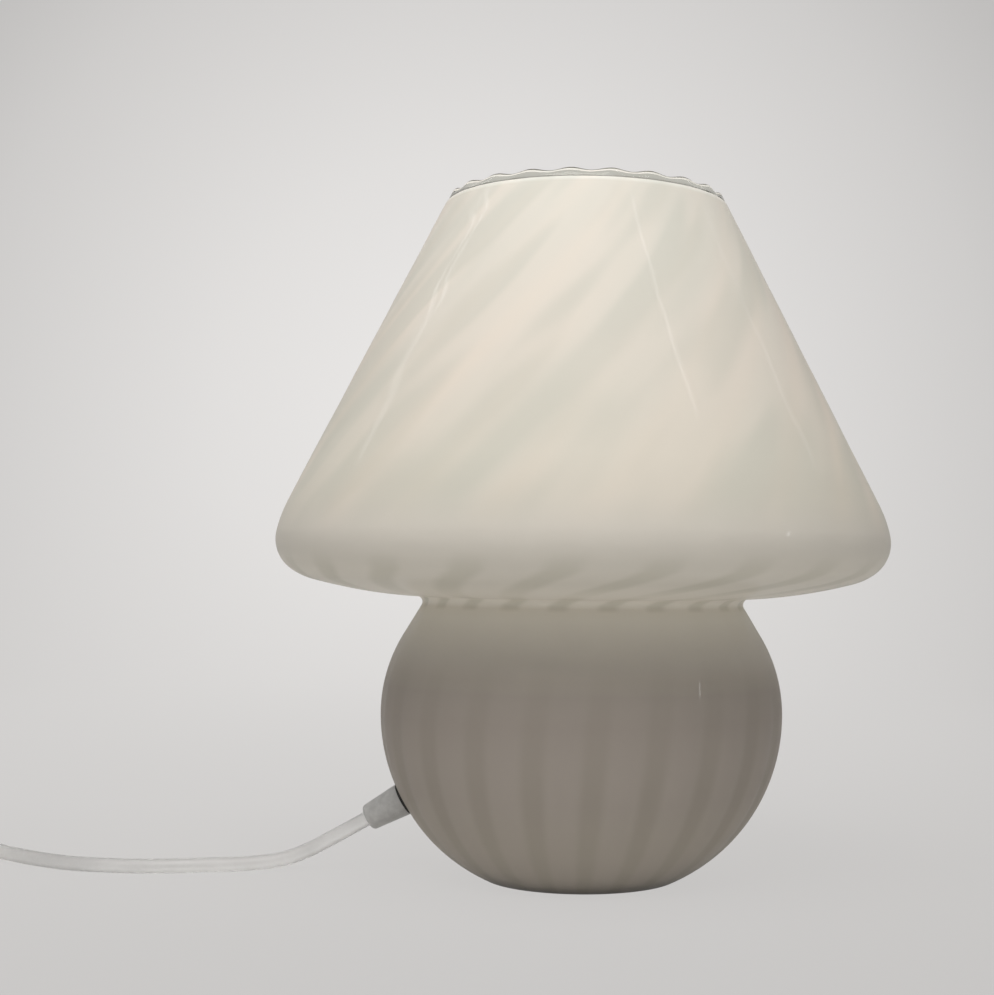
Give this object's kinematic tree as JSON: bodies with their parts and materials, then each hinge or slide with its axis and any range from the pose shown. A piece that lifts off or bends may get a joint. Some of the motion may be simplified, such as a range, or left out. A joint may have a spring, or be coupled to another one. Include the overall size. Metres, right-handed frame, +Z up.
{
  "type": "table lamp",
  "caption": "Mushroom-shaped table lamp of one ribbed opal glass body with an open top, a screw-in bulb inside and a cord with a rocker switch and plug.",
  "frame": {"origin": "middle of the foot, on the table", "axes": "+Z up; the picture looks along +Y; the cord leaves the base towards -X"},
  "size_m": [0.429, 0.2086, 0.2324],
  "materials": {
    "opal_glass": "white opal glass cased in clear, ribbed, glossy",
    "black_rubber": "matt",
    "zinc_steel": "zinc plated",
    "brass": "bare",
    "holder_plastic": "moulded white",
    "holder_core": "ceramic-like insulator",
    "frosted_glass": "frosted white",
    "bulb_metal": "nickel plated",
    "black_plastic": "moulded black",
    "clear_glass": "clear",
    "filament": "yellow phosphor",
    "grey_plastic": "smooth grey",
    "cord_jacket": "soft white vinyl",
    "brown_wire": "insulated conductor",
    "blue_wire": "insulated conductor",
    "white_plastic": "moulded white",
    "rocker_plastic": "polished white",
    "tie": "woven strap"
  },
  "bodies": {
    "lamp": {"glass_body": "opal_glass", "seal_washers": "black_rubber", "clamp_washer": "zinc_steel", "clamp_bolt": "zinc_steel", "clamp_nut": "zinc_steel", "holder_bracket": "zinc_steel", "holder_nipple": "brass", "nipple_nuts": "brass", "holder_cap": "holder_plastic", "holder_skirt": "holder_plastic", "holder_core": "holder_core", "centre_contact": "brass", "side_contact": "brass", "holder_terminals": "brass", "terminal_screws": "zinc_steel", "grip_body": "grey_plastic", "grip_gasket": "black_rubber", "grip_washer": "zinc_steel", "grip_nut": "grey_plastic", "lead_jacket": "cord_jacket", "live_wire": "brown_wire", "neutral_wire": "blue_wire", "cord_run": "cord_jacket", "switch_base": "white_plastic", "switch_cover": "white_plastic", "blade_terminal": "brass", "fixed_terminal": "brass", "switch_screws": "zinc_steel", "cord_clamps": "white_plastic", "switch_leads": "cord_jacket", "neutral_link": "blue_wire", "cord_link": "cord_jacket", "cord_coil": "cord_jacket", "coil_tie": "tie", "cord_tail": "cord_jacket", "plug_relief": "white_plastic", "plug_body": "white_plastic", "plug_pins": "brass", "plug_sleeves": "black_plastic"},
    "bulb": {"bulb_glass": "frosted_glass", "bulb_cap": "bulb_metal", "bulb_insulator": "black_plastic", "bulb_contact": "bulb_metal", "bulb_stem": "clear_glass", "bulb_supports": "bulb_metal", "bulb_filaments": "filament"},
    "rocker": {"switch_rocker": "rocker_plastic"},
    "blade": {"contact_blade": "brass"}
  },
  "joints": [
    {"name": "bulb_lift", "type": "slide", "parent": "lamp", "child": "bulb", "axis": [0, 0, 1], "range_m": [0, 0.15]},
    {"name": "rocker_tilt", "type": "hinge", "parent": "lamp", "child": "rocker", "pos_m": [-0.264, 0.012, 0.0125], "axis": [0, 1, 0], "range_deg": [0, 16]},
    {"name": "blade_tilt", "type": "hinge", "parent": "lamp", "child": "blade", "pos_m": [-0.264, 0.012, 0.0056], "axis": [0, 1, 0], "range_deg": [-10, 0]}
  ],
  "couplings": [
    {"joint": "blade_tilt", "follows": "rocker_tilt", "ratio": -0.625}
  ]
}
